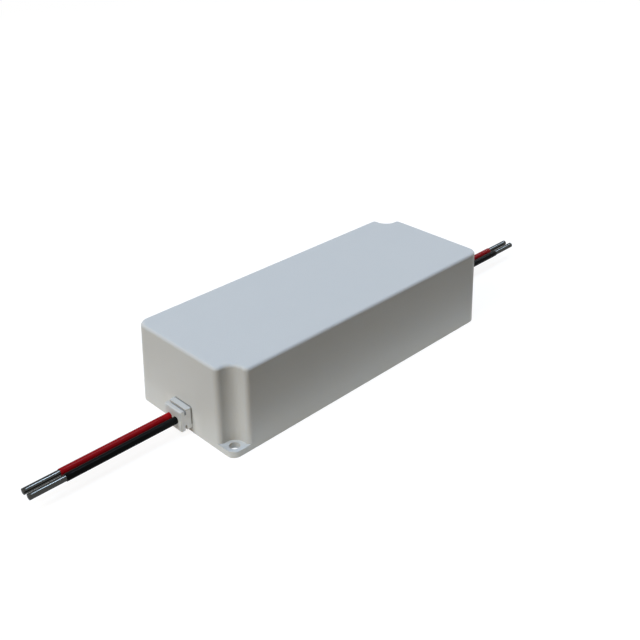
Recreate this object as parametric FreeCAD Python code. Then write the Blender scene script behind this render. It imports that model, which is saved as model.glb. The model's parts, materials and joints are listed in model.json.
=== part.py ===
import FreeCAD, Part
import math
import os

# Waterproof power supply: a drafted, potted plastic case with two screw ears at opposite corners,
# and a pair of short stripped leads out of a strain relief at each end.
# Millimetres, +Z up. The origin is the middle of the case's underside. The output end is at -X.

# Case
case_length = 152.0
case_width = 60.0
case_height = 36.0
case_wall = 2.0
case_roof = 2.2
draft_run = 1.2              # how far each side leans in over the full height
corner_radius = 5.0          # the two plain upright corners
top_edge_radius = 1.4
notch_inset = 2.7            # notch axis to both case sides
notch_radius = 5.25
notch_blend = 2.1            # rounding between notch and case sides
ear_thickness = 2.65
ear_radius = 3.6
ear_hole_inset = 4.0
ear_hole_diameter = 4.3

# Base cover, let into the case's underside
cover_thickness = 1.6
cover_lip = 1.0              # case wall left standing round the cover
cover_gap = 0.15
rest_post_radius = 1.8

# Strain reliefs
gland_width = 10.2
gland_height = 9.3
gland_bottom = 2.45
gland_reach = 4.9            # past the case's end at the base
gland_face_lean = 0.4        # the front face's foot stands this far past its top
gland_plate = 1.8
gland_plate_step = 0.25      # plate's top below the block's
gland_slot = 0.85
gland_cut = 2.3              # depth of the slots from the top and from below
gland_edge_radius = 0.75
gland_flange = 1.5
gland_flange_rim = 1.4
gland_gap = 0.3
gland_window_radius = 1.0

# Leads
jacket_diameter = 3.05
core_diameter = 2.55
lead_pitch = 3.93
lead_height = 6.95
jacket_run = 48.8            # strain relief's face to jacket end
strip_run = 14.5
inner_jacket_run = 3.2       # jacket past the board's end
inner_strip_run = 2.0

# Circuit board
board_thickness = 1.6
board_side_gap = 2.0
board_end_gap = 1.2
board_notch_gap = 0.8
lead_board_gap = 0.3
leg_tail = 0.9
thin_leg_radius = 0.3
thick_leg_radius = 0.5
solder_radius = 0.5          # past the leg, at the board
solder_top_radius = 0.2
solder_height = 0.6

# Input side parts
fuse_diameter = 8.4
fuse_height = 7.6
fuse_leg_pitch = 5.0
thermistor_diameter = 9.5
thermistor_thickness = 4.0
varistor_diameter = 10.5
varistor_thickness = 4.4
disc_leg_pitch = 5.0
disc_stand = 1.5
disc_rounding = 0.33         # of the thickness
line_capacitor_size = (16.0, 7.5, 13.0)
line_capacitor_leg_pitch = 12.5
choke_outer_radius = 8.5
choke_inner_radius = 4.6
choke_width = 7.0
choke_wire_build = 1.1
choke_winding_angle = 130.0
choke_base_width = 11.0
choke_base_thickness = 1.6
choke_base_cradle = 1.2
choke_leg_pitch = (12.5, 7.0)
bridge_size = (14.0, 4.2, 10.0)
bridge_chamfer = 2.0
bridge_leg_pitch = 3.5
bridge_legs = 4

# Primary side parts
bulk_capacitor_diameter = 16.0
bulk_capacitor_height = 20.0
bulk_capacitor_leg_pitch = 7.5
can_crimp = 0.5
can_groove_rise = 2.8        # groove above the board
heatsink_edge_margin = 1.0   # from the board's edge
heatsink_length = 22.0
heatsink_height = 20.0
heatsink_sheet = 1.8
heatsink_wing = 6.0
insulator_thickness = 0.3
transistor_body_size = (10.0, 4.4, 9.0)
transistor_tab_height = 6.0
transistor_tab_thickness = 1.3
transistor_stand = 4.0
transistor_leg_pitch = 2.54
transistor_legs = 3
screw_radius = 1.45
screw_head_radius = 2.6
screw_head_height = 1.6
controller_size = (4.9, 3.9, 1.5)
controller_leg_pitch = 1.27
controller_legs_per_side = 4
controller_leg_size = (0.4, 1.0, 0.2)
resistor_diameter = 3.2
resistor_length = 7.5
resistor_leg_pitch = 11.0
snubber_diameter = 6.0
snubber_thickness = 3.0

# Transformer
core_span = 25.0             # across the three limbs
core_half_depth = 11.0
core_height = 8.0
core_back = 4.2
core_limb = 3.6
core_centre_limb = 7.0
bobbin_wall = 0.8
bobbin_gap = 0.15
bobbin_rise = 4.0            # flange past the core's top and underside
bobbin_foot = 1.2
bobbin_rail_width = 3.2
winding_step = 0.7           # winding below the flange edge
transformer_legs_per_side = 4
transformer_leg_pitch = 4.0

# Secondary side parts
safety_capacitor_diameter = 7.5
safety_capacitor_thickness = 4.0
optocoupler_size = (4.6, 6.4, 3.4)
optocoupler_leg_pitch = 2.54
optocoupler_legs_per_side = 2
output_capacitor_diameter = 10.0
output_capacitor_height = 18.0
output_capacitor_leg_pitch = 5.0
inductor_core_diameter = 6.0
inductor_flange_diameter = 9.4
inductor_flange = 1.4
inductor_height = 12.0
inductor_winding_step = 0.6

# Places on the board, as shares of its half length and half width
rest_post_rows = (-0.97, 0.1, 0.97)
rest_post_columns = (-0.3, 0.3)
fuse_place = (0.88, -0.44)
varistor_place = (0.86, 0.46)
thermistor_place = (0.74, -0.62)
line_capacitor_place = (0.62, 0.64)
choke_place = (0.54, -0.02)
bridge_place = (0.52, -0.70)
bulk_capacitor_place = (0.24, 0.48)
primary_switch_place = 0.22
resistor_place = (0.03, 0.64)
snubber_place = (0.33, -0.14)
transformer_place = (-0.14, -0.12)
controller_place = (-0.03, -0.82)
safety_capacitor_place = (-0.10, 0.74)
optocoupler_place = (-0.24, 0.72)
output_switch_place = -0.54
output_capacitor_places = ((-0.44, 0.52), (-0.63, 0.52))
inductor_place = (-0.82, 0.46)

# Worked out from the sizes above
draft_slope = draft_run / case_height
half_length = case_length / 2
half_width = case_width / 2
roof_height = case_height - case_roof
lead_offset = lead_pitch / 2
board_top = lead_height - jacket_diameter / 2 - lead_board_gap
board_bottom = board_top - board_thickness
core_bend_radius = lead_height - board_top
tail_bottom = board_bottom - leg_tail
gland_face = half_length + gland_reach
board_half_length = half_length - case_wall - gland_flange - board_end_gap
board_half_width = half_width - case_wall - board_side_gap
lead_pad = board_half_length - inner_jacket_run - inner_strip_run - core_bend_radius
past = 1.0                   # how far a cutting tool runs past what it cuts
close = 0.01                 # edges nearer than this to a face are on it
up = FreeCAD.Vector(0, 0, 1)
along = FreeCAD.Vector(1, 0, 0)
across = FreeCAD.Vector(0, 1, 0)
nodes = {}
legs_on_board = []


def point(x, y, z):
    return FreeCAD.Vector(x, y, z)


def block(x0, x1, y0, y1, z0, z1):
    return Part.makeBox(x1 - x0, y1 - y0, z1 - z0, point(x0, y0, z0))


def centred_block(place, bottom, size):
    return Part.makeBox(*size, point(place[0] - size[0] / 2, place[1] - size[1] / 2, bottom))


def rod(place, bottom, top, radius):
    return Part.makeCylinder(radius, top - bottom, point(place[0], place[1], bottom), up)


def on_board(shares):
    return shares[0] * board_half_length, shares[1] * board_half_width


def turned_about(shape):
    # the same piece at the case's other end
    turned = shape.copy()
    turned.rotate(point(0, 0, 0), up, 180)
    return turned


def with_legs(body, places, top, radius):
    # legs run from the body down through the board, which gets a hole for each
    for place in places:
        legs_on_board.append((place, radius))
        body = body.fuse(rod(place, tail_bottom, top, radius))
    return body.removeSplitter()


def pair_of_legs(place, pitch, direction=along):
    step = direction * (pitch / 2)
    return [(place[0] - step.x, place[1] - step.y), (place[0] + step.x, place[1] + step.y)]


def row_of_legs(place, pitch, count):
    return [(place[0] + pitch * (i - (count - 1) / 2), place[1]) for i in range(count)]


# Case

def drafted_block(inset, bottom, top):
    # upright block whose four sides lean in as the case's outside does
    wires = []
    for height in (bottom, top):
        shift = inset + draft_slope * height
        x = half_length - shift
        y = half_width - shift
        corners = [point(-x, -y, height), point(x, -y, height), point(x, y, height), point(-x, y, height)]
        wires.append(Part.makePolygon(corners + corners[:1]))
    return Part.makeLoft(wires, True, True)


def notch_at(height):
    # middle of the notch at the -X -Y corner, which leans in with the sides
    shift = notch_inset + draft_slope * height
    return point(-half_length + shift, -half_width + shift, height)


def without_notches(shape, inset, bottom, top):
    # each notch is as much larger as the wall behind it is thick
    circle = Part.makeCircle(notch_radius + inset, notch_at(bottom), up)
    notch = Part.Face(Part.Wire(circle)).extrude(notch_at(top) - notch_at(bottom))
    return shape.cut([notch, turned_about(notch)])


def upright_edges(shape, height, plain):
    # the plain corners have x and y of opposite sign, the notched ones of the same sign
    found = []
    for edge in shape.Edges:
        middle = edge.CenterOfMass
        if edge.BoundBox.ZLength > height - close and (middle.x * middle.y < 0) == plain:
            found.append(edge)
    return found


def outside_body():
    body = without_notches(drafted_block(0, 0, case_height), 0, -past, case_height + past)
    body = body.makeFillet(corner_radius, upright_edges(body, case_height, True))
    body = body.makeFillet(notch_blend, upright_edges(body, case_height, False))
    rim = [edge for edge in body.Edges if edge.BoundBox.ZMin > case_height - close]
    return body.makeFillet(top_edge_radius, rim)


def screw_ear():
    # the case's own corner, drafted like its sides, behind which the notch wall stands
    reach = notch_inset + notch_radius + notch_blend
    foot = drafted_block(0, 0, ear_thickness)
    foot = foot.makeFillet(ear_radius, upright_edges(foot, ear_thickness, False))
    corner = block(-half_length - past, -half_length + reach, -half_width - past, -half_width + reach,
                   0, ear_thickness)
    hole_place = (-half_length + ear_hole_inset, -half_width + ear_hole_inset)
    return foot.common(corner), rod(hole_place, -past, ear_thickness + past, ear_hole_diameter / 2)


def cavity(bottom, top, inset):
    room = without_notches(drafted_block(inset, bottom, top), inset, bottom - past, top + past)
    return room.makeFillet(corner_radius - inset, upright_edges(room, top - bottom, True))


def gland_window():
    # the opening in the +X end wall, open at the case's underside
    half = gland_width / 2 + gland_gap
    top = gland_bottom + gland_height + gland_gap
    window = block(half_length - 2 * case_wall - draft_run, half_length + past, -half, half, -past, top)
    corners = [e for e in window.Edges if e.BoundBox.XLength > case_wall and e.BoundBox.ZMin > top - past]
    return window.makeFillet(gland_window_radius, corners)


def make_case():
    ear, hole = screw_ear()
    body = outside_body().fuse([ear, turned_about(ear)])
    window = gland_window()
    cuts = [cavity(cover_thickness, roof_height, case_wall), cavity(0, cover_thickness, cover_lip),
            window, turned_about(window), hole, turned_about(hole)]
    return body.cut(cuts).removeSplitter()


# Base cover

def cover_tongue():
    # closes the +X window below the strain relief, flush with the end wall
    half = gland_width / 2 + gland_gap - cover_gap
    top = gland_bottom - cover_gap
    tongue = block(half_length - cover_lip - past, half_length + past, -half, half, 0, top)
    return tongue.common(drafted_block(cover_gap, 0, top))


def rest_posts():
    spots = [on_board((x, y)) for x in rest_post_rows for y in rest_post_columns]
    return [rod(spot, cover_thickness, board_bottom, rest_post_radius) for spot in spots]


def make_base_cover():
    plate = without_notches(drafted_block(cover_lip + cover_gap, 0, cover_thickness), cover_lip + cover_gap,
                            -past, cover_thickness + past)
    plate = plate.makeFillet(corner_radius - cover_lip, upright_edges(plate, cover_thickness, True))
    tongue = cover_tongue()
    return plate.fuse([tongue, turned_about(tongue)] + rest_posts()).removeSplitter()


# Strain reliefs and leads

def lead_bores(start, stop):
    radius = jacket_diameter / 2
    return [Part.makeCylinder(radius, stop - start, point(start, side * lead_offset, lead_height), along)
            for side in (-1, 1)]


def cross_slot(bottom, top, rounded_top):
    # a slot right across the strain relief, with a round foot or a round head
    inner = gland_face - gland_plate - gland_slot
    radius = gland_slot / 2
    end = top - radius if rounded_top else bottom + radius
    low, high = (bottom, end) if rounded_top else (end, top)
    half = gland_width / 2 + past
    slot = block(inner, inner + gland_slot, -half, half, low, high)
    return slot.fuse(Part.makeCylinder(radius, 2 * half, point(inner + radius, -half, end), across))


def make_gland():
    # the +X strain relief: slotted outer block, neck through the wall, flange inside
    half = gland_width / 2
    top = gland_bottom + gland_height
    inside = half_length - case_wall - gland_flange - draft_slope * top
    plate_top = top - gland_plate_step
    corners = [(inside, gland_bottom), (gland_face + gland_face_lean, gland_bottom), (gland_face, plate_top),
               (gland_face - gland_plate, plate_top), (gland_face - gland_plate, top), (inside, top)]
    profile = [point(x, -half, z) for x, z in corners]
    outer = Part.Face(Part.makePolygon(profile + profile[:1])).extrude(across * gland_width)
    front_edges = [e for e in outer.Edges if e.BoundBox.XMin > gland_face - close]
    outer = outer.makeFillet(gland_edge_radius, front_edges)
    outer = outer.cut([cross_slot(top - gland_cut, top + past, False),
                       cross_slot(gland_bottom - past, gland_bottom + gland_cut, True)])
    flange = block(inside, half_length, -half - gland_flange_rim, half + gland_flange_rim,
                   gland_bottom, top + gland_flange_rim)
    flange = flange.common(drafted_block(case_wall, 0, case_height))
    bores = lead_bores(inside - past, gland_face + gland_face_lean + past)
    return outer.fuse(flange).cut(bores).removeSplitter()


def make_jacket(end, side):
    # end is -1 for the output leads and 1 for the input leads
    inner = board_half_length - inner_jacket_run
    direction = along * end
    start = point(end * inner, side * lead_offset, lead_height)
    length = gland_face + jacket_run - inner
    outside = Part.makeCylinder(jacket_diameter / 2, length, start, direction)
    return outside.cut(Part.makeCylinder(core_diameter / 2, length, start, direction))


def make_core(end, side):
    # straight through the jacket, then bent down into its hole in the board
    radius = core_diameter / 2
    bend_start = lead_pad + core_bend_radius
    y = side * lead_offset
    length = gland_face + jacket_run + strip_run - bend_start
    straight = Part.makeCylinder(radius, length, point(end * bend_start, y, lead_height), along * end)
    section = Part.Face(Part.Wire(Part.makeCircle(radius, point(end * bend_start, y, lead_height), along)))
    pivot = point(end * bend_start, y, lead_height - core_bend_radius)
    bend = section.revolve(pivot, across * -end, 90)
    foot = rod((end * lead_pad, y), tail_bottom, lead_height - core_bend_radius, radius)
    legs_on_board.append(((end * lead_pad, y), radius))
    return straight.fuse([bend, foot]).removeSplitter()


# Parts on the board

def upright_disc(place, diameter, thickness):
    # a coated disc that stands on edge on its two legs
    middle = board_top + disc_stand + diameter / 2
    start = point(place[0] - thickness / 2, place[1], middle)
    disc = Part.makeCylinder(diameter / 2, thickness, start, along)
    rims = [e for e in disc.Edges if e.Closed and len(e.Vertexes) == 1]
    disc = disc.makeFillet(thickness * disc_rounding, rims)
    spots = pair_of_legs(place, disc_leg_pitch, across)
    return with_legs(disc, spots, middle, thin_leg_radius)


def make_fuse():
    place = on_board(fuse_place)
    body = rod(place, board_top, board_top + fuse_height, fuse_diameter / 2)
    return with_legs(body, pair_of_legs(place, fuse_leg_pitch), board_top, thin_leg_radius)


def make_line_capacitor():
    place = on_board(line_capacitor_place)
    body = centred_block(place, board_top, line_capacitor_size)
    return with_legs(body, pair_of_legs(place, line_capacitor_leg_pitch), board_top, thin_leg_radius)


def choke_centre():
    place = on_board(choke_place)
    rise = choke_base_thickness + choke_wire_build + choke_outer_radius
    return point(place[0], place[1], board_top + rise)


def lying_disc(centre, radius, width):
    return Part.makeCylinder(radius, width, centre - across * (width / 2), across)


def ring(centre, inner, outer, width):
    return lying_disc(centre, outer, width).cut(lying_disc(centre, inner, width))


def make_choke_core():
    return ring(choke_centre(), choke_inner_radius, choke_outer_radius, choke_width)


def make_choke_winding(side):
    # wire wound round one half of the ring, which it wraps with no gap
    centre = choke_centre()
    build = choke_wire_build
    sleeve = ring(centre, choke_inner_radius - build, choke_outer_radius + build, choke_width + 2 * build)
    sleeve = sleeve.cut(ring(centre, choke_inner_radius, choke_outer_radius, choke_width))
    reach = choke_outer_radius + 2 * build
    half_angle = math.radians(choke_winding_angle / 2)
    edge = reach / math.cos(half_angle / 2)
    angles = (-half_angle, -half_angle / 2, 0, half_angle / 2, half_angle)
    front = centre.y - choke_width
    corners = [point(centre.x, front, centre.z)]
    for angle in angles:
        x = centre.x + side * edge * math.cos(angle)
        corners.append(point(x, front, centre.z + edge * math.sin(angle)))
    wedge = Part.Face(Part.makePolygon(corners + corners[:1])).extrude(across * (2 * choke_width))
    return sleeve.common(wedge)


def make_choke_base():
    # plate as long as the ring, with a cradle that follows the ring's underside
    place = on_board(choke_place)
    centre = choke_centre()
    base = centred_block(place, board_top, (2 * choke_outer_radius, choke_base_width, choke_base_thickness))
    cradle_height = choke_base_thickness + choke_wire_build + choke_base_cradle
    cradle_size = (choke_outer_radius, choke_width, cradle_height)
    base = base.fuse(centred_block(place, board_top, cradle_size))
    base = base.cut(lying_disc(centre, choke_outer_radius, choke_base_width + 2 * past))
    base = base.cut([nodes["choke_winding_left"], nodes["choke_winding_right"]])
    corners = [(place[0] + x * choke_leg_pitch[0] / 2, place[1] + y * choke_leg_pitch[1] / 2)
               for x in (-1, 1) for y in (-1, 1)]
    return with_legs(base, corners, board_top, thin_leg_radius)


def make_bridge_rectifier():
    place = on_board(bridge_place)
    body = centred_block(place, board_top, bridge_size)
    corner = [e for e in body.Edges if e.BoundBox.YLength > bridge_size[1] / 2
              and e.BoundBox.XMin > place[0] and e.BoundBox.ZMin > board_top + bridge_size[2] / 2]
    body = body.makeChamfer(bridge_chamfer, corner)
    return with_legs(body, row_of_legs(place, bridge_leg_pitch, bridge_legs), board_top, thin_leg_radius)


def capacitor_can(place, diameter, height, pitch):
    # round can with a crimped groove near its foot
    body = rod(place, board_top, board_top + height, diameter / 2)
    rim = [e for e in body.Edges if e.Closed and e.BoundBox.ZMin > board_top + close]
    body = body.makeFillet(can_crimp, rim)
    middle = point(place[0], place[1], board_top + can_groove_rise)
    groove = Part.makeTorus(diameter / 2 + can_crimp / 2, can_crimp, middle, up)
    return with_legs(body.cut(groove), pair_of_legs(place, pitch), board_top, thin_leg_radius)


def make_bulk_capacitor():
    return capacitor_can(on_board(bulk_capacitor_place), bulk_capacitor_diameter, bulk_capacitor_height,
                         bulk_capacitor_leg_pitch)


def make_output_capacitor(index):
    return capacitor_can(on_board(output_capacitor_places[index]), output_capacitor_diameter,
                         output_capacitor_height, output_capacitor_leg_pitch)


def sink_face(share):
    # the heatsink face that a transistor is screwed to, at the board's -Y edge
    return share * board_half_length, -board_half_width + heatsink_edge_margin + heatsink_sheet


def screw_place(share):
    x, face = sink_face(share)
    return x, face, board_top + transistor_stand + transistor_body_size[2] + transistor_tab_height / 2


def make_heatsink(share):
    # U-shaped aluminium sheet that stands on the board on two pegs
    x, face = sink_face(share)
    half = heatsink_length / 2
    top = board_top + heatsink_height
    sheet = block(x - half, x + half, face - heatsink_sheet, face, board_top, top)
    wings = [block(x + side * half - (heatsink_sheet if side > 0 else 0),
                   x + side * half + (heatsink_sheet if side < 0 else 0),
                   face - heatsink_sheet, face + heatsink_wing, board_top, top) for side in (-1, 1)]
    sheet = sheet.fuse(wings)
    _, _, hole_height = screw_place(share)
    sheet = sheet.cut(Part.makeCylinder(screw_radius, heatsink_sheet + 2 * past,
                                        point(x, face - heatsink_sheet - past, hole_height), across))
    inset = half - heatsink_sheet / 2
    pegs = [(x - inset, face + heatsink_wing / 2), (x + inset, face + heatsink_wing / 2)]
    return with_legs(sheet, pegs, board_top, thick_leg_radius)


def make_insulator(share):
    x, face = sink_face(share)
    width, _, height = transistor_body_size
    low = board_top + transistor_stand
    pad = block(x - width / 2, x + width / 2, face, face + insulator_thickness, low,
                low + height + transistor_tab_height)
    return pad.cut(Part.makeCylinder(screw_radius, insulator_thickness + 2 * past,
                                     point(x, face - past, screw_place(share)[2]), across))


def make_transistor(share):
    # moulded body and metal tab against the insulator, three legs down to the board
    x, face = sink_face(share)
    width, depth, height = transistor_body_size
    back = face + insulator_thickness
    low = board_top + transistor_stand
    body = block(x - width / 2, x + width / 2, back, back + depth, low, low + height)
    tab = block(x - width / 2, x + width / 2, back, back + transistor_tab_thickness, low + height,
                low + height + transistor_tab_height)
    hole_start = point(x, back - past, screw_place(share)[2])
    hole = Part.makeCylinder(screw_radius, depth + 2 * past, hole_start, across)
    middle = (x, back + depth / 2)
    spots = row_of_legs(middle, transistor_leg_pitch, transistor_legs)
    return with_legs(body.fuse(tab).cut(hole), spots, low, thin_leg_radius)


def make_sink_screw(share):
    # through the tab, the insulator and the sheet, with its head on the tab
    x, face, height = screw_place(share)
    seat = face + insulator_thickness + transistor_tab_thickness
    shank = Part.makeCylinder(screw_radius, seat - face + heatsink_sheet,
                              point(x, face - heatsink_sheet, height), across)
    head = Part.makeCylinder(screw_head_radius, screw_head_height, point(x, seat, height), across)
    return shank.fuse(head).removeSplitter()


def make_controller():
    # flat chip with gull-wing feet on each long side, soldered on the board's top
    place = on_board(controller_place)
    foot_width, foot_reach, foot_thickness = controller_leg_size
    length, width, height = controller_size
    body = centred_block(place, board_top + foot_thickness, (length, width, height))
    feet = []
    for x, _ in row_of_legs(place, controller_leg_pitch, controller_legs_per_side):
        for side in (-1, 1):
            y = place[1] + side * (width + foot_reach) / 2
            feet.append(centred_block((x, y), board_top, (foot_width, foot_reach, foot_thickness)))
            shin = (foot_width, foot_thickness, foot_thickness + height / 2)
            feet.append(centred_block((x, place[1] + side * (width + foot_thickness) / 2), board_top, shin))
    return body.fuse(feet).removeSplitter()


def make_resistor():
    # lies across the board, with its two ends bent down
    place = on_board(resistor_place)
    radius = resistor_diameter / 2
    height = board_top + radius
    start = point(place[0], place[1] - resistor_length / 2, height)
    body = Part.makeCylinder(radius, resistor_length, start, across)
    wire = Part.makeCylinder(thin_leg_radius, resistor_leg_pitch,
                             point(place[0], place[1] - resistor_leg_pitch / 2, height), across)
    spots = pair_of_legs(place, resistor_leg_pitch, across)
    ends = [Part.makeSphere(thin_leg_radius, point(x, y, height)) for x, y in spots]
    return with_legs(body.fuse([wire] + ends), spots, height, thin_leg_radius)


# Transformer

def transformer_middle():
    x, y = on_board(transformer_place)
    return point(x, y, board_top + bobbin_foot + bobbin_rise + core_height / 2)


def make_core_half(side):
    # three limbs that meet those of the other half in the middle of the bobbin
    middle = transformer_middle()
    low = middle.z - core_height / 2
    high = middle.z + core_height / 2

    def limb(y0, y1, x_from, x_to):
        x0, x1 = sorted((middle.x + side * x_from, middle.x + side * x_to))
        return block(x0, x1, middle.y + y0, middle.y + y1, low, high)

    half = core_span / 2
    return limb(-half, half, core_half_depth - core_back, core_half_depth).fuse([
        limb(-half, -half + core_limb, 0, core_half_depth),
        limb(half - core_limb, half, 0, core_half_depth),
        limb(-core_centre_limb / 2, core_centre_limb / 2, 0, core_half_depth)]).removeSplitter()


def bobbin_sizes():
    # half depth, half width and half height of the flanges, and of the tube
    depth = core_half_depth - core_back - bobbin_gap
    flange = (core_span / 2 - core_limb - bobbin_gap, core_height / 2 + bobbin_rise)
    tube = (core_centre_limb / 2 + bobbin_gap + bobbin_wall, core_height / 2 + bobbin_gap + bobbin_wall)
    return depth, flange, tube


def sleeve_round_limb(x0, x1, half_width_across, half_height, middle):
    return block(middle.x + x0, middle.x + x1, middle.y - half_width_across, middle.y + half_width_across,
                 middle.z - half_height, middle.z + half_height)


def make_bobbin():
    middle = transformer_middle()
    depth, flange, tube = bobbin_sizes()
    body = sleeve_round_limb(-depth, depth, *tube, middle)
    rails = []
    spots = []
    rail_half = transformer_leg_pitch * transformer_legs_per_side / 2
    for side in (-1, 1):
        x0, x1 = sorted((side * depth, side * (depth - bobbin_wall)))
        body = body.fuse(sleeve_round_limb(x0, x1, *flange, middle))
        rail_x = middle.x + side * (depth - bobbin_rail_width / 2)
        rails.append(block(rail_x - bobbin_rail_width / 2, rail_x + bobbin_rail_width / 2,
                           middle.y - rail_half, middle.y + rail_half, board_top, middle.z - flange[1]))
        spots += [(rail_x, y) for y, _ in row_of_legs((middle.y, 0), transformer_leg_pitch,
                                                      transformer_legs_per_side)]
    body = body.fuse(rails)
    hole_half = core_centre_limb / 2 + bobbin_gap
    hole_height = core_height / 2 + bobbin_gap
    body = body.cut(sleeve_round_limb(-depth - past, depth + past, hole_half, hole_height, middle))
    return with_legs(body, spots, board_top, thin_leg_radius)


def make_transformer_winding():
    middle = transformer_middle()
    depth, flange, tube = bobbin_sizes()
    inner = depth - bobbin_wall
    outside = sleeve_round_limb(-inner, inner, flange[0] - winding_step, flange[1] - winding_step, middle)
    upright = [e for e in outside.Edges if e.BoundBox.XLength > inner]
    outside = outside.makeFillet((flange[0] - tube[0]) / 2, upright)
    return outside.cut(sleeve_round_limb(-depth, depth, *tube, middle))


def make_optocoupler():
    place = on_board(optocoupler_place)
    body = centred_block(place, board_top, optocoupler_size)
    spots = []
    for side in (-1, 1):
        row = (place[0], place[1] + side * (optocoupler_size[1] / 2 - thick_leg_radius))
        spots += row_of_legs(row, optocoupler_leg_pitch, optocoupler_legs_per_side)
    return with_legs(body, spots, board_top, thin_leg_radius)


def make_inductor_core():
    # drum core: two flanges on a round post
    place = on_board(inductor_place)
    top = board_top + inductor_height
    post = rod(place, board_top, top, inductor_core_diameter / 2)
    flanges = [rod(place, board_top, board_top + inductor_flange, inductor_flange_diameter / 2),
               rod(place, top - inductor_flange, top, inductor_flange_diameter / 2)]
    return with_legs(post.fuse(flanges), pair_of_legs(place, output_capacitor_leg_pitch), board_top,
                     thin_leg_radius)


def make_inductor_winding():
    place = on_board(inductor_place)
    low = board_top + inductor_flange
    high = board_top + inductor_height - inductor_flange
    coil = rod(place, low, high, inductor_flange_diameter / 2 - inductor_winding_step)
    return coil.cut(rod(place, low, high, inductor_core_diameter / 2))


# Board, solder and potting

def make_board():
    board = block(-board_half_length, board_half_length, -board_half_width, board_half_width,
                  board_bottom, board_top)
    notch = rod(notch_at(board_top), board_bottom - past, board_top + past,
                notch_radius + case_wall + board_notch_gap)
    holes = [rod(place, board_bottom - past, board_top + past, radius) for place, radius in legs_on_board]
    return board.cut([notch, turned_about(notch)] + holes)


def make_solder():
    # a cone of solder round each leg, under the board
    cones = []
    for place, radius in legs_on_board:
        cone = Part.makeCone(radius + solder_top_radius, radius + solder_radius, solder_height,
                             point(place[0], place[1], board_bottom - solder_height), up)
        cones.append(cone.cut(rod(place, tail_bottom - past, board_bottom + past, radius)))
    return Part.makeCompound(cones)


def make_potting():
    # fills the case round everything on and under the board
    inside = [nodes[name] for name in nodes if name != "case"]
    return cavity(cover_thickness, roof_height, case_wall).cut(inside)


def build():
    nodes["case"] = make_case()
    nodes["base_cover"] = make_base_cover()
    gland = make_gland()
    nodes["input_strain_relief"] = gland
    nodes["output_strain_relief"] = turned_about(gland)
    for name, end in (("output", -1), ("input", 1)):
        for colour, side in (("red", 1), ("black", -1)):
            nodes[name + "_" + colour + "_jacket"] = make_jacket(end, side)
            nodes[name + "_" + colour + "_core"] = make_core(end, side)
    nodes["fuse"] = make_fuse()
    nodes["surge_varistor"] = upright_disc(on_board(varistor_place), varistor_diameter, varistor_thickness)
    nodes["inrush_thermistor"] = upright_disc(on_board(thermistor_place), thermistor_diameter,
                                              thermistor_thickness)
    nodes["line_capacitor"] = make_line_capacitor()
    nodes["choke_core"] = make_choke_core()
    nodes["choke_winding_left"] = make_choke_winding(-1)
    nodes["choke_winding_right"] = make_choke_winding(1)
    nodes["choke_base"] = make_choke_base()
    nodes["bridge_rectifier"] = make_bridge_rectifier()
    nodes["bulk_capacitor"] = make_bulk_capacitor()
    for name, share in (("primary", primary_switch_place), ("output", output_switch_place)):
        nodes[name + "_heatsink"] = make_heatsink(share)
        nodes[name + "_insulator"] = make_insulator(share)
        nodes[name + "_sink_screw"] = make_sink_screw(share)
    nodes["switch_transistor"] = make_transistor(primary_switch_place)
    nodes["output_rectifier"] = make_transistor(output_switch_place)
    nodes["snubber_resistor"] = make_resistor()
    nodes["snubber_capacitor"] = upright_disc(on_board(snubber_place), snubber_diameter, snubber_thickness)
    nodes["transformer_core_input"] = make_core_half(1)
    nodes["transformer_core_output"] = make_core_half(-1)
    nodes["transformer_bobbin"] = make_bobbin()
    nodes["transformer_winding"] = make_transformer_winding()
    nodes["controller_chip"] = make_controller()
    nodes["safety_capacitor"] = upright_disc(on_board(safety_capacitor_place), safety_capacitor_diameter,
                                             safety_capacitor_thickness)
    nodes["optocoupler"] = make_optocoupler()
    for index in range(len(output_capacitor_places)):
        nodes["output_capacitor_%d" % (index + 1)] = make_output_capacitor(index)
    nodes["output_inductor_core"] = make_inductor_core()
    nodes["output_inductor_winding"] = make_inductor_winding()
    nodes["circuit_board"] = make_board()
    nodes["solder_joints"] = make_solder()
    nodes["potting_compound"] = make_potting()


build()
os.makedirs("parts", exist_ok=True)
for name in nodes:
    nodes[name].exportStep("parts/" + name + ".step")
    print("%-26s %2d solid(s) %10.1f mm3" % (name, len(nodes[name].Solids), nodes[name].Volume))
print("bend radius of the lead cores over the board: %.3f mm" % core_bend_radius)
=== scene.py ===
import json
import math

import bpy
from mathutils import Matrix, Vector


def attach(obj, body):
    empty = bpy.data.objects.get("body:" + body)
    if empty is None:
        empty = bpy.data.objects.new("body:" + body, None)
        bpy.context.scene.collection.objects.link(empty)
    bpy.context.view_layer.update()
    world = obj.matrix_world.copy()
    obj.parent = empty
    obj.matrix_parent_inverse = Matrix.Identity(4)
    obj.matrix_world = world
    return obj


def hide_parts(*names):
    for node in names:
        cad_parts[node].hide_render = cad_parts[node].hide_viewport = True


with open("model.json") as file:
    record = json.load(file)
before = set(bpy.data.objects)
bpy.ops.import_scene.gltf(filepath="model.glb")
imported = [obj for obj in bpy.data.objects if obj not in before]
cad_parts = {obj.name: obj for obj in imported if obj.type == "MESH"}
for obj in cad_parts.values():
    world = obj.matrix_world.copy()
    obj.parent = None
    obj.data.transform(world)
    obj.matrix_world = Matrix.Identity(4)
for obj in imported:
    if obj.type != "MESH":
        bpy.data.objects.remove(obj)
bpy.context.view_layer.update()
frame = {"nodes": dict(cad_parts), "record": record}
print("frame loaded:", len(frame["nodes"]), "pieces")

mm = 0.001
body = "root"


# Camera: head held level, seen from above the -X -Y corner
cameraSettings = {
    "turn": -45.0,        # degrees, 0 looks along +Y
    "rise": 30.0,         # degrees above the floor
    "away": 0.39055,
    "aim": (-0.00004, -0.00004, 0.0179),
    "lens": 50.0,
    "sensor": 36.0,
    "nearest": 0.02,      # what it sees lies between these distances
    "farthest": 20.0,
}


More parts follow.
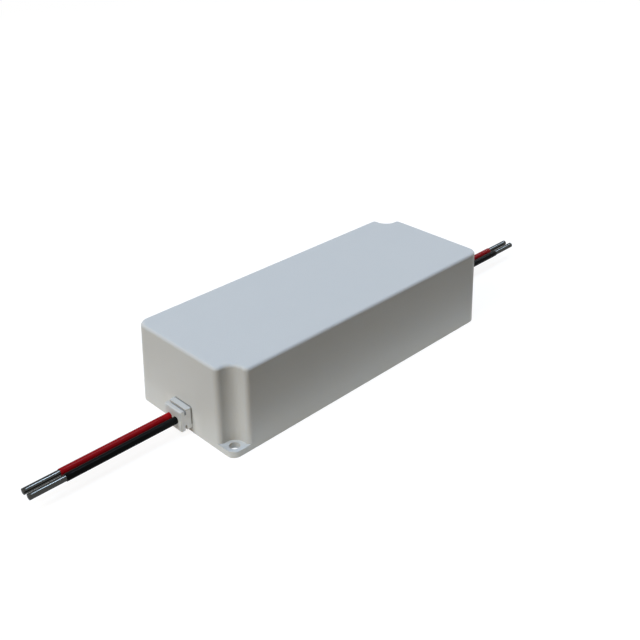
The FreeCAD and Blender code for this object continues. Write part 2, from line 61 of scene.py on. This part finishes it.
def addCamera(settings):
    data = bpy.data.cameras.new("camera")
    data.lens = settings["lens"]
    data.sensor_width = settings["sensor"]
    data.clip_start = settings["nearest"]
    data.clip_end = settings["farthest"]
    camera = bpy.data.objects.new("camera", data)
    bpy.context.scene.collection.objects.link(camera)
    turn, rise = math.radians(settings["turn"]), math.radians(settings["rise"])
    back = Vector((math.sin(turn) * math.cos(rise), -math.cos(turn) * math.cos(rise), math.sin(rise)))
    camera.location = Vector(settings["aim"]) + back * settings["away"]
    camera.rotation_mode = "QUATERNION"
    camera.rotation_quaternion = (-back).to_track_quat("-Z", "Y")
    bpy.context.scene.camera = camera


addCamera(cameraSettings)
print("camera placed")


# Leads: a straight insulated wire, with its tinned strands bare at the tip. X counts from the middle.
leadSettings = {
    "outside": 3.05 * mm,
    "bore": 2.57 * mm,
    "bundle": 2.55 * mm,
    "pitch": 3.93 * mm,          # red to black
    "height": 6.95 * mm,
    "exit": 81.1 * mm,           # where it leaves the strain relief
    "jacketStart": 68.1 * mm,
    "jacketEnd": 129.7 * mm,
    "tip": 144.2 * mm,
    "pad": 64.275 * mm,          # its hole in the board
    "tail": 2.625 * mm,          # height of the end that stands in that hole
    "cutRound": 0.09 * mm,       # rounding of the jacket's cut edge
    "cutTurns": (30, 60, 90),    # degrees round it, a ring at each
    "tipRound": 0.10 * mm,
    "tipTurns": (20, 40, 60, 78),
    "sides": 48,
    "jacketStep": 3 * mm,        # from ring to ring
    "boreStep": 6 * mm,
    "wireStep": 1 * mm,
    "routeStep": 10 * mm,
    "smoothness": 16,            # of the line that each piece follows
}


def nurbsLine(name, points, smoothness):
    data = bpy.data.curves.new(name, "CURVE")
    data.dimensions = "3D"
    spline = data.splines.new("NURBS")
    spline.points.add(len(points) - 1)
    for place, target in zip(points, spline.points):
        target.co = (*place, 1)
    spline.order_u = 3
    spline.use_endpoint_u = True
    spline.resolution_u = smoothness
    line = bpy.data.objects.new(name, data)
    bpy.context.scene.collection.objects.link(line)
    return line


def pointsOf(line):
    # the spline's own points, start to end
    bpy.context.view_layer.update()
    mesh = bpy.data.meshes.new_from_object(line)
    points = [v.co.copy() for v in mesh.vertices]
    bpy.data.meshes.remove(mesh)
    bpy.data.objects.remove(line)
    return points


def distancesAlong(points):
    run = [0.0]
    for a, b in zip(points, points[1:]):
        run.append(run[-1] + (b - a).length)
    return run


def placeAlong(points, run, distance):
    # the place at this distance along the line, and the way the line goes there
    distance = min(max(distance, 0.0), run[-1])
    i = 0
    while i < len(run) - 2 and run[i + 1] < distance:
        i += 1
    step = points[i + 1] - points[i]
    share = (distance - run[i]) / step.length
    return points[i] + step * share, step.normalized()


def sweptPiece(name, points, rings, sides, closed):
    # rings are (distance, radius); closed joins the last ring to the first, else both ends are capped
    run = distancesAlong(points)
    across = Vector((0, 1, 0))    # square to the whole route
    vertices = []
    for distance, radius in rings:
        place, forward = placeAlong(points, run, distance)
        upward = forward.cross(across)
        for k in range(sides):
            angle = 2 * math.pi * k / sides
            vertices.append(place + across * (radius * math.cos(angle))
                            + upward * (radius * math.sin(angle)))
    faces = []
    count = len(rings)
    for i in range(count if closed else count - 1):
        a, b = i * sides, ((i + 1) % count) * sides
        for k in range(sides):
            n = (k + 1) % sides
            faces.append((a + k, a + n, b + n, b + k))
    if not closed:
        for start, atEnd in ((0, False), ((count - 1) * sides, True)):
            vertices.append(sum((vertices[start + k] for k in range(sides)), Vector()) / sides)
            hub = len(vertices) - 1
            for k in range(sides):
                n = (k + 1) % sides
                faces.append((hub, start + k, start + n) if atEnd else (hub, start + n, start + k))
    mesh = bpy.data.meshes.new(name)
    mesh.from_pydata(vertices, [], faces)
    mesh.shade_smooth()
    mesh.validate()
    piece = bpy.data.objects.new(name, mesh)
    bpy.context.scene.collection.objects.link(piece)
    return piece


def evenly(start, stop, step):
    count = max(1, round((stop - start) / step))
    return [start + (stop - start) * i / count for i in range(count + 1)]


def roundedEnd(length, radius, rounding, turns):
    # rings that round the outer edge at the end of a length
    rings = []
    for turn in turns:
        angle = math.radians(turn)
        rings.append((length - rounding + rounding * math.sin(angle),
                      radius - rounding + rounding * math.cos(angle)))
    return rings


def addLead(name, end, y, settings):
    high, smoothness = settings["height"], settings["smoothness"]
    start, stop = settings["jacketStart"], settings["jacketEnd"]
    middle = (start + stop) / 2

    def at(x, z=high):
        return (end * x, y, z)

    # insulation, a tube with its cut edge just rounded
    jacketRoute = pointsOf(nurbsLine("route", [at(start), at(middle), at(stop)], smoothness))
    length, outer, edge = stop - start, settings["outside"] / 2, settings["cutRound"]
    rings = [(d, outer) for d in evenly(0, length - edge, settings["jacketStep"])]
    rings += roundedEnd(length, outer, edge, settings["cutTurns"])
    rings += [(d, settings["bore"] / 2) for d in reversed(evenly(0, length, settings["boreStep"]))]
    jacket = sweptPiece(name + "Jacket", jacketRoute, rings, settings["sides"], True)

    # conductor, from its hole in the board to the bare tip
    pad, tail = settings["pad"], settings["tail"]
    wireRoute = pointsOf(nurbsLine("route", [
        at(pad, tail), at(pad, (tail + high) / 2), at(pad), at(start), at(middle), at(stop),
        at(settings["tip"])], smoothness))
    total, radius, dome = distancesAlong(wireRoute)[-1], settings["bundle"] / 2, settings["tipRound"]
    wireRings = [(d, radius) for d in evenly(0, total - dome, settings["wireStep"])]
    wireRings += roundedEnd(total, radius, dome, settings["tipTurns"])
    wire = sweptPiece(name + "Conductor", wireRoute, wireRings, settings["sides"], False)
    return jacket, wire


leads = {}
for endName, end in (("output", -1), ("input", 1)):
    for colour, side in (("red", 1), ("black", -1)):
        node = endName + "_" + colour
        y = side * leadSettings["pitch"] / 2
        jacket, wire = addLead(endName + colour.capitalize(), end, y, leadSettings)
        leads[node] = (jacket, wire)
        for piece, replaced, slotName in (
                (jacket, "_jacket", colour + "_insulation"), (wire, "_core", "tinned_wire")):
            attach(piece, body)
            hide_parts(node + replaced)
print("leads made:", len(leads))


# Small helpers for nodes: each value is another node's socket or a plain number
def setOrLink(links, value, socket):
    if hasattr(value, "is_linked"):
        links.new(value, socket)
    else:
        socket.default_value = value


def mathOf(nodes, links, operation, *values):
    node = nodes.new("ShaderNodeMath")
    node.operation = operation
    for value, socket in zip(values, node.inputs):
        setOrLink(links, value, socket)
    return node.outputs[0]


def vectorOf(nodes, links, operation, *values):
    node = nodes.new("ShaderNodeVectorMath")
    node.operation = operation
    for value, socket in zip(values, node.inputs):
        setOrLink(links, value, socket)
    return node.outputs["Value" if operation in ("LENGTH", "DOT_PRODUCT") else "Vector"]


def ramp(nodes, links, value, fromRange, toRange=(0.0, 1.0)):
    node = nodes.new("ShaderNodeMapRange")
    node.inputs["From Min"].default_value, node.inputs["From Max"].default_value = fromRange
    node.inputs["To Min"].default_value, node.inputs["To Max"].default_value = toRange
    links.new(value, node.inputs["Value"])
    return node.outputs["Result"]


def mixColour(nodes, links, mask, first, second):
    mix = nodes.new("ShaderNodeMix")
    mix.data_type = "RGBA"
    links.new(mask, mix.inputs["Factor"])
    for label, colour in (("A", first), ("B", second)):
        socket = [s for s in mix.inputs if s.name == label and s.type == "RGBA"][0]
        setOrLink(links, (*colour, 1) if isinstance(colour, tuple) else colour, socket)
    return [s for s in mix.outputs if s.type == "RGBA"][0]


def mixShader(nodes, links, mask, first, second):
    mix = nodes.new("ShaderNodeMixShader")
    for value, socket in zip((mask, first.outputs[0], second.outputs[0]), mix.inputs):
        links.new(value, socket)
    return mix


# Effects that several materials share
def newGroup(name, inputs, outputs):
    group = bpy.data.node_groups.new(name, "ShaderNodeTree")
    for label, default in inputs:
        kind = "NodeSocketVector" if isinstance(default, tuple) else "NodeSocketFloat"
        socket = group.interface.new_socket(label, in_out="INPUT", socket_type=kind)
        socket.default_value = default
    for label in outputs:
        group.interface.new_socket(label, in_out="OUTPUT", socket_type="NodeSocketFloat")
    return group, group.nodes.new("NodeGroupInput"), group.nodes.new("NodeGroupOutput")


def surfaceGrain():
    # Grain is fine relief, Patches is slow unevenness of gloss and tone
    group, given, result = newGroup("surfaceGrain", [
        ("Grain Scale", 2500.0), ("Grain Detail", 2.0), ("Patch Scale", 60.0), ("Patch Detail", 3.0),
        ("Stretch", (1.0, 1.0, 1.0))], ["Grain", "Patches"])
    nodes, links = group.nodes, group.links
    where = nodes.new("ShaderNodeTexCoord")
    stretched = vectorOf(nodes, links, "MULTIPLY", where.outputs["Object"], given.outputs["Stretch"])
    for label, kind in (("Grain", "Grain"), ("Patches", "Patch")):
        noise = nodes.new("ShaderNodeTexNoise")
        links.new(stretched, noise.inputs["Vector"])
        links.new(given.outputs[kind + " Scale"], noise.inputs["Scale"])
        links.new(given.outputs[kind + " Detail"], noise.inputs["Detail"])
        links.new(noise.outputs["Fac"], result.inputs[label])
    return group


def speckles():
    # small round spots scattered over the surface
    group, given, result = newGroup("speckles", [("Spot Scale", 900.0), ("Spot Size", 0.25)], ["Spots"])
    nodes, links = group.nodes, group.links
    where = nodes.new("ShaderNodeTexCoord")
    cells = nodes.new("ShaderNodeTexVoronoi")
    links.new(where.outputs["Object"], cells.inputs["Vector"])
    links.new(given.outputs["Spot Scale"], cells.inputs["Scale"])
    spots = mathOf(nodes, links, "LESS_THAN", cells.outputs["Distance"], given.outputs["Spot Size"])
    links.new(spots, result.inputs["Spots"])
    return group


def turnLines():
    # close parallel lines, such as wound wire or rolled metal, across the given direction
    halfLine = 0.5
    group, given, result = newGroup("turnLines", [
        ("Direction", (1.0, 0.0, 0.0)), ("Line Scale", 800.0)], ["Lines"])
    nodes, links = group.nodes, group.links
    where = nodes.new("ShaderNodeTexCoord")
    along = vectorOf(nodes, links, "DOT_PRODUCT", where.outputs["Object"], given.outputs["Direction"])
    phase = mathOf(nodes, links, "MULTIPLY", along, given.outputs["Line Scale"])
    links.new(mathOf(nodes, links, "PINGPONG", phase, halfLine), result.inputs["Lines"])
    return group


def insideBox():
    # 1 inside a box, fading in over Soft; X and Y count from the middle both ways
    group, given, result = newGroup("insideBox", [
        ("Low", (0.0, 0.0, 0.0)), ("High", (1.0, 1.0, 1.0)), ("Soft", 0.0001)], ["Inside"])
    nodes, links = group.nodes, group.links
    where = nodes.new("ShaderNodeTexCoord")
    spot = vectorOf(nodes, links, "ABSOLUTE", where.outputs["Object"])
    pastLow = vectorOf(nodes, links, "SUBTRACT", spot, given.outputs["Low"])
    beforeHigh = vectorOf(nodes, links, "SUBTRACT", given.outputs["High"], spot)
    axes = nodes.new("ShaderNodeSeparateXYZ")
    links.new(vectorOf(nodes, links, "MINIMUM", pastLow, beforeHigh), axes.inputs[0])
    nearest = mathOf(nodes, links, "MINIMUM", axes.outputs["X"], axes.outputs["Y"])
    nearest = mathOf(nodes, links, "MINIMUM", nearest, axes.outputs["Z"])
    share = mathOf(nodes, links, "DIVIDE", nearest, given.outputs["Soft"])
    share.node.use_clamp = True
    links.new(share, result.inputs["Inside"])
    return group


groups = {"grain": surfaceGrain(), "spots": speckles(), "lines": turnLines(), "box": insideBox()}
print("effects made:", len(groups))


# Materials, one for each of the record's slots. Colours are linear.
# tone: second colour of the patches; rough: least and most; relief: height of the fine grain in mm
# refraction: 1.5 if not given; edge: how much of the mirror at a glancing view is left
# lines: the direction they count along, and how many to the metre
finishes = {
    "case": {"colour": (0.545, 0.550, 0.535), "tone": (0.541, 0.546, 0.531), "rough": (0.54, 0.58),
             "grain": 2600, "relief": 0.075},
    "cover": {"colour": (0.530, 0.535, 0.520), "tone": (0.505, 0.510, 0.495), "rough": (0.50, 0.60),
              "grain": 2200, "relief": 0.025},
    "strain_relief": {"colour": (0.755, 0.765, 0.775), "tone": (0.745, 0.755, 0.765),
                      "rough": (0.46, 0.54), "grain": 2400, "relief": 0.030},
    "red_insulation": {"colour": (0.290, 0.0032, 0.0064), "tone": (0.280, 0.0028, 0.0058),
                       "rough": (0.22, 0.28), "refraction": 1.15, "grain": 900, "relief": 0.004,
                       "stretch": (0.05, 1.0, 1.0)},
    "black_insulation": {"colour": (0.0018, 0.0018, 0.0018), "tone": (0.0022, 0.0022, 0.0022),
                         "rough": (0.22, 0.28), "refraction": 1.108, "grain": 900, "relief": 0.004,
                         "stretch": (0.05, 1.0, 1.0)},
    "tinned_wire": {"colour": (0.052, 0.053, 0.050), "tone": (0.048, 0.049, 0.046), "rough": (0.09, 0.12),
                    "metal": 1.0, "edge": 0.55, "grain": 1500, "relief": 0.003,
                    "lines": ((0.5, 1.0, 0.6), 2000)},
    "laminate": {"colour": (0.020, 0.120, 0.045), "tone": (0.016, 0.100, 0.038), "rough": (0.28, 0.42),
                 "grain": 1200, "relief": 0.012, "spots": (0.035, 0.150, 0.070)},
    "solder": {"colour": (0.560, 0.560, 0.570), "tone": (0.430, 0.430, 0.440), "rough": (0.18, 0.40),
               "metal": 1.0, "grain": 1600, "relief": 0.015},
    "resin": {"colour": (0.040, 0.041, 0.044), "tone": (0.050, 0.051, 0.054), "rough": (0.42, 0.62),
              "grain": 700, "relief": 0.020, "spots": (0.075, 0.075, 0.080)},
    "ferrite": {"colour": (0.045, 0.045, 0.047), "tone": (0.060, 0.060, 0.062), "rough": (0.50, 0.70),
                "grain": 3000, "relief": 0.030, "spots": (0.090, 0.090, 0.092)},
    "enamelled_copper": {"colour": (0.430, 0.150, 0.050), "tone": (0.350, 0.115, 0.036),
                         "rough": (0.22, 0.34), "metal": 1.0, "grain": 900, "relief": 0.008,
                         "lines": ((0.25, 1.0, 0.6), 1400)},
    "winding_tape": {"colour": (0.620, 0.430, 0.030), "tone": (0.560, 0.385, 0.026), "rough": (0.24, 0.36),
                     "grain": 800, "relief": 0.010, "lines": ((0.0, 0.0, 1.0), 260)},
    "black_moulding": {"colour": (0.016, 0.016, 0.017), "tone": (0.022, 0.022, 0.023),
                       "rough": (0.45, 0.60), "grain": 2600, "relief": 0.022},
    "film_box": {"colour": (0.600, 0.370, 0.030), "tone": (0.560, 0.340, 0.026), "rough": (0.34, 0.46),
                 "grain": 1800, "relief": 0.015},
    "capacitor_sleeve": {"colour": (0.012, 0.018, 0.040), "tone": (0.016, 0.023, 0.048),
                         "rough": (0.22, 0.34), "grain": 700, "relief": 0.010, "stretch": (1.0, 1.0, 0.1)},
    "blue_coating": {"colour": (0.020, 0.090, 0.360), "tone": (0.016, 0.075, 0.310), "rough": (0.25, 0.42),
                     "grain": 500, "relief": 0.030},
    "brown_coating": {"colour": (0.130, 0.055, 0.022), "tone": (0.105, 0.044, 0.018), "rough": (0.28, 0.44),
                      "grain": 500, "relief": 0.030},
    "sheet_aluminium": {"colour": (0.680, 0.685, 0.700), "tone": (0.610, 0.615, 0.630),
                        "rough": (0.28, 0.42), "metal": 1.0, "grain": 1500, "relief": 0.010,
                        "lines": ((0.0, 0.0, 1.0), 3200)},
    "silicone_pad": {"colour": (0.400, 0.400, 0.420), "tone": (0.370, 0.370, 0.390), "rough": (0.60, 0.75),
                     "grain": 1600, "relief": 0.020, "lines": ((1.0, 0.0, 1.0), 1600)},
    "screw_steel": {"colour": (0.520, 0.520, 0.530), "tone": (0.450, 0.450, 0.460), "rough": (0.22, 0.36),
                    "metal": 1.0, "grain": 1300, "relief": 0.012, "lines": ((0.0, 1.0, 0.0), 2600)},
}

# Painted light and shade laid over parts of a finish, the later ones on top: each one lightens or darkens
# the colour in place of light and shadow. Each fills a box from its low to its high corner, in mm with X and
# Y counted from the middle both ways, and fades in over its soft edge.
whole = 1000.0    # past the object, so that a box has no end there
paintedLightAndShade = {
    "case": {
        # painted light: the tops of the screw ears lighter than the case, in place of light that the body
        # shades from them
        "screwEars": {"low": (60.0, 15.0, 2.55), "high": (75.7, 29.7, 2.75), "soft": 0.1,
                      "colour": (0.618, 0.626, 0.612)},
        # painted light: the end wall beside and below the strain relief lighter, fading out, in place of the
        # shade that the strain relief casts there
        "wallByTheStrainRelief": {"low": (69.0, -whole, -whole), "high": (whole, 12.0, 12.0), "soft": 6.0,
                                  "colour": (0.620, 0.626, 0.608)},
    },
    "strain_relief": {
        # painted shade: the front face of the strain relief darker than its sides
        "front": {"low": (80.6, -whole, -whole), "high": (82.0, whole, whole), "soft": 0.1,
                  "colour": (0.484, 0.502, 0.499)},
        # painted light: the lower front of the strain relief lighter than the front above it, as if lit from
        # the floor
        "foot": {"low": (79.0, -whole, -whole), "high": (90.0, 5.3, 8.0), "soft": 1.5,
                 "colour": (0.700, 0.700, 0.672)},
        # painted shade: the top of the strain relief darker than its sides
        "top": {"low": (-whole, -whole, 11.2), "high": (whole, whole, whole), "soft": 0.1,
                "colour": (0.615, 0.617, 0.600)},
        # painted shade: the upper and lower slots of the strain relief darker
        "upperSlot": {"low": (78.2, -whole, 9.4), "high": (79.15, whole, 11.7), "soft": 0.1,
                      "colour": (0.385, 0.355, 0.310)},
        "lowerSlot": {"low": (78.2, -whole, -whole), "high": (79.15, whole, 4.8), "soft": 0.1,
                      "colour": (0.385, 0.355, 0.310)},
        # painted shadow: a dark band on the strain relief where it enters the case wall, above it and beside
        # it
        "upperJoint": {"low": (74.0, -whole, 11.4), "high": (76.0, whole, 12.5), "soft": 0.1,
                       "colour": (0.300, 0.295, 0.280)},
        "sideJoint": {"low": (74.0, 4.6, 4.0), "high": (76.25, whole, 12.0), "soft": 0.2,
                      "colour": (0.300, 0.295, 0.280)},
    },
    "red_insulation": {
        # painted light: the red jacket lighter by the strain relief, fading out, in place of light thrown
        # back from it
        "byTheStrainRelief": {"low": (80.8, -whole, -whole), "high": (84.8, whole, whole), "soft": 2.0,
                              "colour": (0.460, 0.0050, 0.0095)},
    },
    "black_insulation": {
        # painted light: the black jacket lighter towards the strain relief, fading out over 14 mm, in place
        # of light thrown back from it
        "byTheStrainRelief": {"low": (0.0, -whole, -whole), "high": (96.0, whole, whole), "soft": 14.0,
                              "colour": (0.0095, 0.0098, 0.0098)},
    },
}


def placeGroup(nodes, group, values):
    node = nodes.new("ShaderNodeGroup")
    node.node_tree = group
    for label, value in values.items():
        node.inputs[label].default_value = value
    return node


def addPaintedLightAndShade(nodes, links, name, shade, colour):
    # one mark of painted light or shade, mixed into the colour inside its box
    box = placeGroup(nodes, groups["box"], {
        "Low": tuple(side * mm for side in shade["low"]), "High": tuple(side * mm for side in shade["high"]),
        "Soft": shade["soft"] * mm})
    box.label = name
    return mixColour(nodes, links, box.outputs["Inside"], colour, shade["colour"])


def makeFinish(name, finish):
    everywhere, plastic, usual = (1.0, 1.0, 1.0), 1.5, (0.3, 0.7)    # usual: where most of the noise lies
    material = bpy.data.materials.new(name)
    material.use_nodes = True
    nodes, links = material.node_tree.nodes, material.node_tree.links
    shader = nodes["Principled BSDF"]
    shader.inputs["Metallic"].default_value = finish.get("metal", 0.0)
    shader.inputs["IOR"].default_value = finish.get("refraction", plastic)
    edge = finish.get("edge", 1.0)
    shader.inputs["Specular Tint"].default_value = (edge, edge, edge, 1)
    grain = placeGroup(nodes, groups["grain"], {
        "Grain Scale": finish["grain"], "Stretch": finish.get("stretch", everywhere)})

    colour = mixColour(nodes, links, grain.outputs["Patches"], finish["colour"], finish["tone"])
    if "spots" in finish:
        spots = placeGroup(nodes, groups["spots"], {})
        colour = mixColour(nodes, links, spots.outputs["Spots"], colour, finish["spots"])
    # painted light and shade over the colour
    for paintedName, shade in paintedLightAndShade.get(name, {}).items():
        colour = addPaintedLightAndShade(nodes, links, paintedName, shade, colour)
    links.new(colour, shader.inputs["Base Color"])
    gloss = ramp(nodes, links, grain.outputs["Patches"], usual, finish["rough"])
    links.new(gloss, shader.inputs["Roughness"])

    height = grain.outputs["Grain"]
    if "lines" in finish:
        direction, scale = finish["lines"]
        lines = placeGroup(nodes, groups["lines"], {"Direction": direction, "Line Scale": scale})
        height = mathOf(nodes, links, "ADD", height, lines.outputs["Lines"])
    bump = nodes.new("ShaderNodeBump")
    bump.inputs["Strength"].default_value = 1.0
    bump.inputs["Distance"].default_value = finish["relief"] * mm
    links.new(height, bump.inputs["Height"])
    links.new(bump.outputs["Normal"], shader.inputs["Normal"])
    return material


materials = {name: makeFinish(name, finish) for name, finish in finishes.items()}
slotOf = {part["node"]: part["material_slot"] for part in frame["record"]["subparts"]}


def dress(piece, material):
    piece.data.materials.clear()
    piece.data.materials.append(material)


for node, piece in frame["nodes"].items():
    dress(piece, materials[slotOf[node]])
for node, (jacket, wire) in leads.items():
    dress(jacket, materials[slotOf[node + "_jacket"]])
    dress(wire, materials[slotOf[node + "_core"]])
print("materials made:", len(materials))


# Lamps: toward is the direction in which each stands, seen from the origin, and away how far it stands
lampSettings = {
    "skyLamp": {"toward": (-0.45, 0.08, 0.89), "away": 2.0, "size": (1.2, 1.0),
                "power": 21.1, "colour": (0.334, 0.600, 1.0)},
    "nearStreak": {"toward": (0.745, -0.05, 2.0), "away": 2.13, "size": (0.38, 0.9),    # on the near wires
                   "power": 6.5, "colour": (0.67, 0.80, 1.0)},
    "farStreak": {"toward": (2.33, -0.05, 2.0), "away": 3.07, "size": (0.29, 1.0),
                  "power": 4.5, "colour": (0.67, 0.80, 1.0)},
    "nearTip": {"toward": (0.512, -0.069, 2.0), "away": 2.066, "size": (0.13, 0.35),    # on their tips
                "power": 6.4, "colour": (0.60, 0.77, 1.0)},
    "farTip": {"toward": (2.435, 0.0, 1.936), "away": 3.11, "size": (0.10, 0.50),
               "power": 4.8, "colour": (0.60, 0.77, 1.0)},
    "endLamp": {"toward": (-0.83, 0.10, 0.53), "away": 2.0, "size": (1.3, 1.3),
                "power": 22.9, "colour": (1.0, 0.840, 0.588)},
    "sideLamp": {"toward": (-0.22, -0.80, 0.56), "away": 2.0, "size": (0.9, 0.9),
                 "power": 4.2, "colour": (1.0, 0.78, 0.45)},
    "backLamp": {"toward": (-0.05, 0.94, 0.33), "away": 2.0, "size": (0.6, 0.9),
                 "power": 7.0, "colour": (1.0, 0.86, 0.68)},
    "farEndLamp": {"toward": (0.95, 0.0, 0.30), "away": 2.0, "size": (0.6, 0.9),
                   "power": 6.0, "colour": (1.0, 0.82, 0.60)},
}


def addLamp(name, settings):
    data = bpy.data.lights.new(name, "AREA")
    data.shape = "RECTANGLE"
    data.size, data.size_y = settings["size"]
    data.energy = settings["power"]
    data.color = settings["colour"]
    lamp = bpy.data.objects.new(name, data)
    bpy.context.scene.collection.objects.link(lamp)
    toward = Vector(settings["toward"]).normalized()
    lamp.location = toward * settings["away"]
    # its width stays level along X, and it shines back at the object
    width = Vector((0, 1, 0)).cross(toward).normalized()
    lamp.rotation_mode = "QUATERNION"
    lamp.rotation_quaternion = Matrix((width, toward.cross(width), toward)).transposed().to_quaternion()
    lamp.visible_camera = False


# Studio: a pale floor and a white background
studioSettings = {
    "floorSize": 4.0,
    "floorDrop": 0.02 * mm,
    "footprints": ((0.076, 0.030), (0.130, 0.001)),    # half length and width: case, strip under the leads
    "matEnd": (0.0176, 0.0264),    # between these distances from them the floor stops giving light back
    "matPale": (0.95, 0.91, 0.84),
    "farPale": (0.05, 0.05, 0.05),
    "glow": 0.88,                  # white that is seen whatever the light
    "shade": 0.20,                 # and the part of it that takes shadow
    "plain": (0.5, 0.8),           # between these distances the floor turns plain white
    "ambient": (0.05, 0.05, 0.05),
}


def seenDirectly(nodes, links):
    # 1 for camera, mirror and glass rays, 0 for the light that the background and the floor give
    rays = nodes.new("ShaderNodeLightPath")
    seen = mathOf(nodes, links, "MAXIMUM", rays.outputs["Is Camera Ray"], rays.outputs["Is Glossy Ray"])
    return mathOf(nodes, links, "MAXIMUM", seen, rays.outputs["Is Transmission Ray"])


def addWorld(settings):
    world = bpy.data.worlds.new("studio")
    bpy.context.scene.world = world
    world.use_nodes = True
    nodes, links = world.node_tree.nodes, world.node_tree.links
    light = nodes["Background"]
    light.inputs["Color"].default_value = (*settings["ambient"], 1)
    light.inputs["Strength"].default_value = 1.0
    white = nodes.new("ShaderNodeBackground")
    white.inputs["Color"].default_value = (1, 1, 1, 1)
    shown = mixShader(nodes, links, seenDirectly(nodes, links), light, white)
    links.new(shown.outputs[0], nodes["World Output"].inputs["Surface"])


def distanceOutside(nodes, links, footprints):
    # how far a place on the floor lies outside the nearer footprint
    anyHeight = 1.0
    where = nodes.new("ShaderNodeTexCoord")
    spot = vectorOf(nodes, links, "ABSOLUTE", where.outputs["Object"])
    distances = []
    for length, width in footprints:
        outside = vectorOf(nodes, links, "SUBTRACT", spot, (length, width, anyHeight))
        clipped = vectorOf(nodes, links, "MAXIMUM", outside, (0.0, 0.0, 0.0))
        distances.append(vectorOf(nodes, links, "LENGTH", clipped))
    return mathOf(nodes, links, "MINIMUM", *distances)


def paleFloor(settings):
    material = bpy.data.materials.new("paleFloor")
    material.use_nodes = True
    nodes, links = material.node_tree.nodes, material.node_tree.links
    nodes.remove(nodes["Principled BSDF"])
    distance = distanceOutside(nodes, links, settings["footprints"])

    # the light that it gives back to the object
    bounce = nodes.new("ShaderNodeBsdfDiffuse")
    matEdge = ramp(nodes, links, distance, settings["matEnd"])
    links.new(mixColour(nodes, links, matEdge, settings["matPale"], settings["farPale"]),
              bounce.inputs["Color"])

    # what is seen of it: a glow and a little shadow, and plain white further out
    shade = nodes.new("ShaderNodeBsdfDiffuse")
    shade.inputs["Color"].default_value = (settings["shade"], settings["shade"], settings["shade"], 1)
    glow = nodes.new("ShaderNodeEmission")
    glow.inputs["Strength"].default_value = settings["glow"]
    near = nodes.new("ShaderNodeAddShader")
    links.new(glow.outputs[0], near.inputs[0])
    links.new(shade.outputs[0], near.inputs[1])
    plain = nodes.new("ShaderNodeEmission")
    seen = mixShader(nodes, links, ramp(nodes, links, distance, settings["plain"]), near, plain)

    either = mixShader(nodes, links, seenDirectly(nodes, links), bounce, seen)
    links.new(either.outputs[0], nodes["Material Output"].inputs["Surface"])
    return material


def addFloor(settings):
    half, low = settings["floorSize"] / 2, -settings["floorDrop"]
    corners = [(-half, -half, low), (half, -half, low), (half, half, low), (-half, half, low)]
    mesh = bpy.data.meshes.new("floor")
    mesh.from_pydata(corners, [], [(0, 1, 2, 3)])
    floor = bpy.data.objects.new("floor", mesh)
    bpy.context.scene.collection.objects.link(floor)
    floor.data.materials.append(paleFloor(settings))


for name, settings in lampSettings.items():
    addLamp(name, settings)
addWorld(studioSettings)
addFloor(studioSettings)
bpy.context.scene.view_settings.view_transform = "Standard"
print("studio lit by", len(lampSettings), "lamps")
